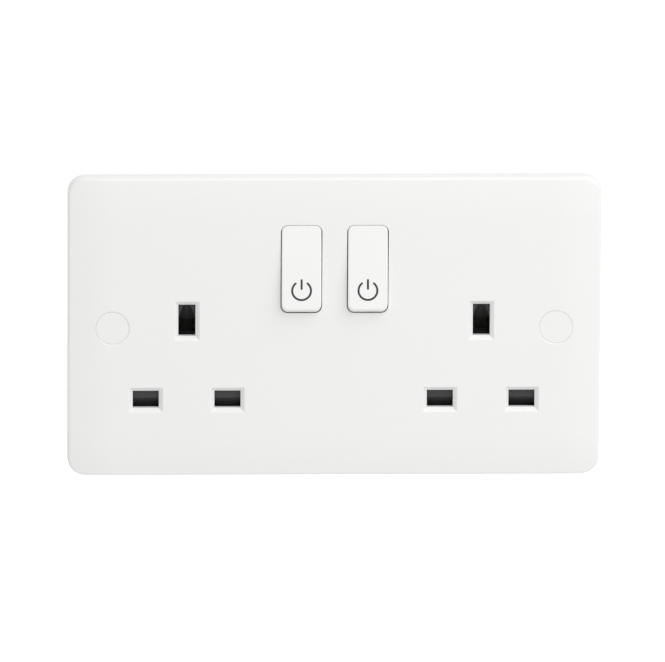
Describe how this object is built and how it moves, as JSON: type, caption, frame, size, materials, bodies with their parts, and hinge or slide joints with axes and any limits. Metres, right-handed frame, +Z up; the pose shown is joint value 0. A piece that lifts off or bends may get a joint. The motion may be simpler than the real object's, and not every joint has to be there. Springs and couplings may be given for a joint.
{
  "type": "twin switched socket outlet",
  "caption": "White twin wall socket outlet for flat three-pin plugs, with a crowned plate, round screw caps, a rocker switch for each socket, shuttered slots and a recessed base.",
  "frame": {"origin": "halfway between the two fixing screws, on the wall plane behind the plate", "axes": "+X to the right and +Z up as one faces the plate, +Y into the wall"},
  "size_m": [0.145, 0.0301, 0.084],
  "materials": {
    "plate": "satin-gloss moulded urea",
    "rocker": "gloss moulded thermoplastic",
    "cap": "satin moulded thermoplastic",
    "base": "matt moulded thermoplastic",
    "shutter": "matt moulded nylon",
    "tray": "matt moulded nylon",
    "plunger": "natural acetal",
    "brass": "rolled strip",
    "contact": "silver-faced rivet",
    "screw": "bright zinc plate",
    "spring": "drawn spring wire",
    "print": "pad-printed ink, for the signs on the rockers"
  },
  "bodies": {
    "fixed_parts": {"front_plate": "plate", "rear_housing": "base", "live_clip_left": "brass", "live_clip_right": "brass", "live_bar": "brass", "neutral_bar": "brass", "earth_bar": "brass", "live_terminal": "brass", "neutral_terminal": "brass", "earth_terminal_left": "brass", "earth_terminal_right": "brass", "terminal_screws": "screw", "housing_screws": "screw", "screw_cap_left": "cap", "fixing_screw_left": "screw", "fixed_contact_left": "contact", "shutter_frame_left": "tray", "shutter_spring_left": "spring", "screw_cap_right": "cap", "fixing_screw_right": "screw", "fixed_contact_right": "contact", "shutter_frame_right": "tray", "shutter_spring_right": "spring"},
    "rocker_left": {"rocker_left": "rocker", "plunger_left": "plunger", "plunger_spring_left": "spring"},
    "arm_left": {"contact_arm_left": "brass", "moving_contact_left": "contact"},
    "shutter_left": {"shutter_left": "shutter"},
    "rocker_right": {"rocker_right": "rocker", "plunger_right": "plunger", "plunger_spring_right": "spring"},
    "arm_right": {"contact_arm_right": "brass", "moving_contact_right": "contact"},
    "shutter_right": {"shutter_right": "shutter"}
  },
  "joints": [
    {"name": "rocker_tilt_left", "type": "hinge", "parent": "fixed_parts", "child": "rocker_left", "pos_m": [-0.009, -0.001, 0.0166], "axis": [1, 0, 0], "range_deg": [0, 14]},
    {"name": "arm_tilt_left", "type": "hinge", "parent": "fixed_parts", "child": "arm_left", "pos_m": [-0.009, 0.0117, 0.0166], "axis": [1, 0, 0], "range_deg": [-18, 0]},
    {"name": "rocker_tilt_right", "type": "hinge", "parent": "fixed_parts", "child": "rocker_right", "pos_m": [0.009, -0.001, 0.0166], "axis": [1, 0, 0], "range_deg": [0, 14]},
    {"name": "arm_tilt_right", "type": "hinge", "parent": "fixed_parts", "child": "arm_right", "pos_m": [0.009, 0.0117, 0.0166], "axis": [1, 0, 0], "range_deg": [-18, 0]},
    {"name": "shutter_slide_left", "type": "slide", "parent": "fixed_parts", "child": "shutter_left", "axis": [0, 0, 1], "range_m": [0, 0.0056], "stiffness_N_per_m": 150, "springref_m": -0.006, "deforming": ["shutter_spring_left"]},
    {"name": "shutter_slide_right", "type": "slide", "parent": "fixed_parts", "child": "shutter_right", "axis": [0, 0, 1], "range_m": [0, 0.0056], "stiffness_N_per_m": 150, "springref_m": -0.006, "deforming": ["shutter_spring_right"]}
  ],
  "couplings": [
    {"joint": "arm_tilt_left", "follows": "rocker_tilt_left", "ratio": -1.2857},
    {"joint": "arm_tilt_right", "follows": "rocker_tilt_right", "ratio": -1.2857}
  ]
}
